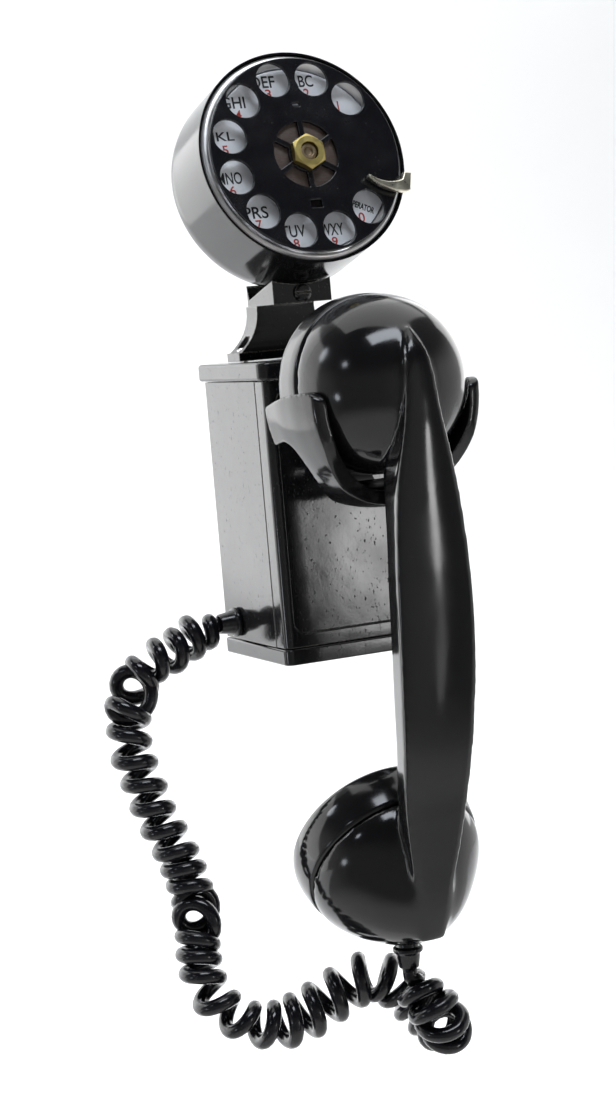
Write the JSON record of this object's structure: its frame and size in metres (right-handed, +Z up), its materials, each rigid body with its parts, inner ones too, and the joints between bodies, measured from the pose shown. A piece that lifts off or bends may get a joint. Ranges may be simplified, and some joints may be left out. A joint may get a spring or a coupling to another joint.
{
  "type": "wall telephone",
  "caption": "Narrow wall telephone: upright box with a rotary dial in a round cup on a neck, a spring-loaded cradle in front, and a one-piece handset hanging in it on a coiled cord.",
  "frame": {"origin": "centre of the box's back, on the wall plane", "axes": "+Z up, +Y into the wall, the front faces -Y, +X to the right seen from the front"},
  "size_m": [0.1281, 0.1273, 0.3725],
  "materials": {
    "gloss_black": "gloss black stove enamel, worn at the edges",
    "black_bakelite": "polished black phenolic moulding",
    "steel": "plain steel",
    "nickel": "bright nickel plate",
    "brass": "plain brass",
    "bronze": "phosphor bronze strip",
    "enamel": "white vitreous enamel",
    "fibre": "pressed fibre",
    "rubber": "black rubber"
  },
  "bodies": {
    "case": {"back_plate": "steel", "case_shell": "gloss_black", "bottom_cap": "gloss_black", "front_cover": "gloss_black", "top_cap": "gloss_black", "case_screw": "nickel", "neck_pedestal": "gloss_black", "neck_screw_left": "nickel", "neck_screw_right": "nickel", "cup_bracket": "gloss_black", "bracket_screw": "gloss_black", "dial_cup": "black_bakelite", "dial_frame": "steel", "number_plate": "enamel", "bezel_ring": "nickel", "finger_stop": "nickel", "main_spring": "steel", "governor_cup": "brass", "pulse_contact_inner": "bronze", "pulse_contact_outer": "bronze", "pulse_insulator": "fibre", "dial_screw_1": "nickel", "dial_screw_2": "nickel", "dial_screw_3": "nickel", "cradle_bracket": "steel", "cradle_pin": "steel", "cradle_spring": "steel", "hook_contact_1": "bronze", "hook_contact_2": "bronze", "hook_contact_3": "bronze", "hook_insulator": "fibre", "terminal_block": "black_bakelite", "terminal_screw_1": "brass", "terminal_screw_2": "brass", "terminal_screw_3": "brass", "terminal_screw_4": "brass", "case_bushing": "rubber", "handset_cord": "rubber"},
    "dial_wheel": {"finger_wheel": "gloss_black", "hub_disc": "fibre", "hub_nut": "brass", "dial_shaft": "steel", "main_gear": "brass", "pulse_wheel": "fibre"},
    "governor": {"governor_shaft": "steel", "governor_weight_a": "brass", "governor_weight_b": "brass"},
    "cradle": {"cradle_fork": "black_bakelite"},
    "handset": {"handset_bushing": "rubber", "handset_handle": "black_bakelite", "receiver_cap": "black_bakelite", "receiver_capsule": "steel", "transmitter_cap": "black_bakelite", "transmitter_capsule": "steel"}
  },
  "joints": [
    {"name": "dial_spin", "type": "hinge", "parent": "case", "child": "dial_wheel", "pos_m": [0, -0.0498, 0.1336], "axis": [0, 0.9613, -0.2756], "range_deg": [0, 327], "stiffness_Nm_per_rad": 0.004, "springref_deg": -114.59},
    {"name": "governor_spin", "type": "hinge", "parent": "case", "child": "governor", "pos_m": [-0.01954, -0.03281, 0.12031], "axis": [0, 0.9613, -0.2756], "range_deg": [-1330, 10]},
    {"name": "handset_lift", "type": "slide", "parent": "case", "child": "handset", "axis": [0, 0, 1], "range_m": [0, 0.06]},
    {"name": "cradle_hinge", "type": "hinge", "parent": "case", "child": "cradle", "pos_m": [0, -0.03, 0.0255], "axis": [-1, 0, 0], "range_deg": [0, 6.5]}
  ],
  "couplings": [
    {"joint": "governor_spin", "follows": "dial_spin", "ratio": -4},
    {"joint": "cradle_hinge", "follows": "handset_lift", "rad_per_m": 1.745}
  ]
}
